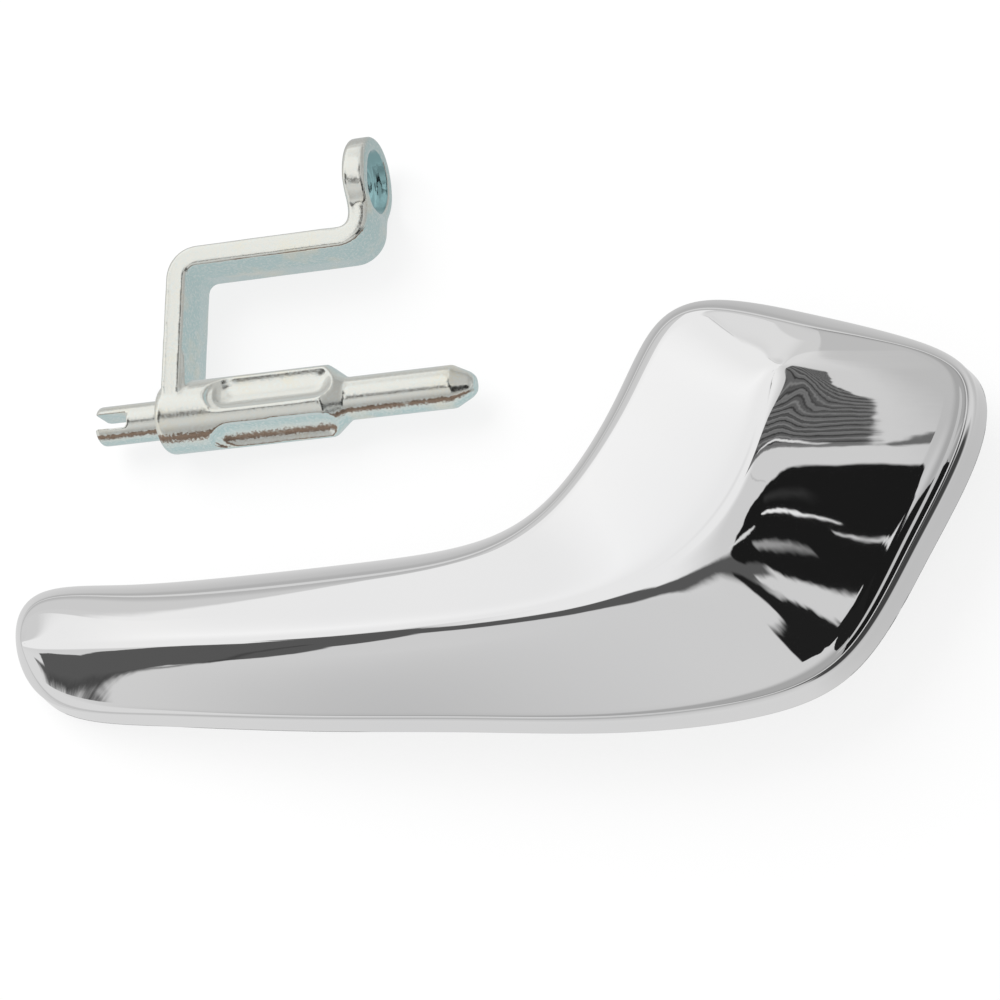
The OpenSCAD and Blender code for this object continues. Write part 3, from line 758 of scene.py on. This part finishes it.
def blind(graph, flat, u, v, level):
    """The slats of a blind, bent as the pad bends them."""
    low = graph.math("ADD", v, graph.math("MULTIPLY_ADD", u, 0.243, -0.122))
    corner = graph.math("MINIMUM", graph.math("MAXIMUM", graph.math("SUBTRACT", v, 0.21), 0.0), 0.11)
    right = graph.math("MULTIPLY_ADD", corner, 0.36, u)
    left = graph.math("SUBTRACT", u, graph.math("MULTIPLY_ADD", v, 1.28, -0.47))
    mask = graph.math("MULTIPLY", graph.fade(low, -0.004, 0.004), graph.fade(right, 0.357, 0.352))
    mask = graph.math("MULTIPLY", mask, graph.fade(left, -0.01, 0.01))
    mask = graph.math("MULTIPLY", mask, graph.fade(v, 0.49, 0.46))
    sway = graph.split(graph.noise(flat, 7.0, 2.0))[0]
    waved = graph.math("ADD", low, graph.math("MULTIPLY_ADD", sway, 0.03, -0.015))
    count = graph.math("DIVIDE", waved, graph.fade(u, 0.22, 0.36, 0.36, 0.17))
    slats = graph.math("SINE", graph.math("MULTIPLY", count, 66.0))
    fine = graph.math("SINE", graph.math("MULTIPLY", count, 171.0))
    value = graph.math("MULTIPLY_ADD", slats, 0.065, graph.math("MULTIPLY_ADD", fine, 0.035, 0.135))
    return graph.mix(mask, level, value)


def room(graph, direction_socket):
    """What polished metal sees in a direction above the floor."""
    x, y, z = graph.split(direction_socket)[:3]
    height = graph.math("MAXIMUM", z, 0.02)
    flat = graph.join(graph.math("DIVIDE", x, height), graph.math("DIVIDE", y, height))
    far = graph.vector("LENGTH", flat)
    place = wander(graph, flat, graph.fade(far, 0.3, 1.0, 0.006, 0.03), 7.0)
    place = wander(graph, place, graph.fade(far, 0.3, 1.0, 0.008, 0.018), 60.0, 4.0)
    u, v = graph.split(place)[:2]
    # The grey room: darker towards the camera's side, and beyond the pad's corner
    level = graph.fade(v, -1.7, -0.5, 0.43, 0.70)
    level = graph.mix(graph.math("MULTIPLY", graph.fade(u, 0.355, 0.40), graph.fade(v, -0.25, 0.1)), level, 0.57)
    level = graph.mix(graph.math("MULTIPLY", graph.fade(u, 0.6, 1.6), graph.fade(v, -1.2, -0.4)), level, 0.44)
    level = graph.mix(graph.math("MULTIPLY", graph.fade(u, -1.2, -1.9), graph.fade(v, 0.5, -0.5)), level, 0.78)
    # Each side of the divide works out only its own strokes, which saves time
    west = paint(graph, place, level, reaching(STROKES, -1))
    east = blind(graph, flat, u, v, paint(graph, place, level, reaching(STROKES, 1)))
    east = paint(graph, place, east, [BLIND_STREAK])
    horizon = graph.fade(z, 0.14, 0.02, 1.0, 0.75)
    sides = [graph.background(graph.math("MULTIPLY", side, horizon)) for side in (west, east)]
    return graph.blend(graph.math("GREATER_THAN", u, DIVIDE), *sides)


def surroundings():
    """The studio: plain white for the camera, plain light for matt things, and the room for polished metal."""
    world = bpy.data.worlds.new("studio")
    bpy.context.scene.world = world
    world.use_nodes = True
    world.node_tree.nodes.clear()
    graph = Graph(world.node_tree)
    coords = graph.nodes.new("ShaderNodeTexCoord")
    path = graph.nodes.new("ShaderNodeLightPath")
    mirrored = room(graph, coords.outputs["Generated"])
    light = graph.blend(path.outputs["Is Glossy Ray"], graph.background(ROOM_LEVEL), mirrored)
    shown = graph.blend(path.outputs["Is Camera Ray"], light, graph.background(1.0))
    out = graph.nodes.new("ShaderNodeOutputWorld")
    graph.links.new(shown, out.inputs["Surface"])


def floor():
    """A wide pale floor that keeps a soft shadow, white for the camera and a pale card for polished metal."""
    z = FLOOR_Z * MM
    size = 3.0
    corners = [(-size, -size, z), (size, -size, z), (size, size, z), (-size, size, z)]
    plane = mesh_object("floor", corners, [(0, 1, 2, 3)], smooth=False)
    material, nodes, links, shader = node_tree("floor")
    shader.inputs["Base Color"].default_value = (0.9, 0.9, 0.9, 1)
    shader.inputs["Roughness"].default_value = 0.9
    shader.inputs["Specular IOR Level"].default_value = 0.0
    graph = Graph(material.node_tree)
    coords = graph.nodes.new("ShaderNodeTexCoord")
    place = graph.vector("SCALE", coords.outputs["Object"])
    place.node.inputs["Scale"].default_value = 1 / MM
    place = wander(graph, place, 6.0, 0.03)
    level = paint(graph, place, CARD_LEVEL, CARD_MARKS)
    path = graph.nodes.new("ShaderNodeLightPath")
    white = graph.blend(0.8, shader.outputs["BSDF"], graph.emission(1.0))
    seen = graph.blend(path.outputs["Is Camera Ray"], shader.outputs["BSDF"], white)
    card = graph.blend(path.outputs["Is Glossy Ray"], seen, graph.emission(level))
    links.new(card, nodes["Material Output"].inputs["Surface"])
    plane.data.materials.append(material)


def lamp(name, azimuth, elevation, distance, size, watts):
    """A square lamp that only its light shows."""
    data = bpy.data.lights.new(name, "AREA")
    data.shape = "SQUARE"
    data.size = size
    data.energy = watts
    thing = bpy.data.objects.new(name, data)
    bpy.context.scene.collection.objects.link(thing)
    towards = direction(azimuth, elevation)
    thing.location = TARGET + towards * distance
    thing.rotation_euler = towards.to_track_quat("Z", "Y").to_euler()
    thing.visible_camera = False
    thing.visible_glossy = False


def main():
    camera()
    surroundings()
    floor()
    lamp("key", 130, 50, 0.9, 0.7, 6)
    chrome, zinc = chrome_material(), zinc_material()
    handle = make_handle()
    handle.data.materials.clear()
    handle.data.materials.append(chrome)
    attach(handle, "root")
    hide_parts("handle")
    lever = make_lever()
    lever.data.materials.clear()
    lever.data.materials.append(zinc)
    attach(lever, "root")
    lever.visible_glossy = False
    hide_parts("lever_pin")
    bpy.context.scene.view_settings.view_transform = "Standard"


main()
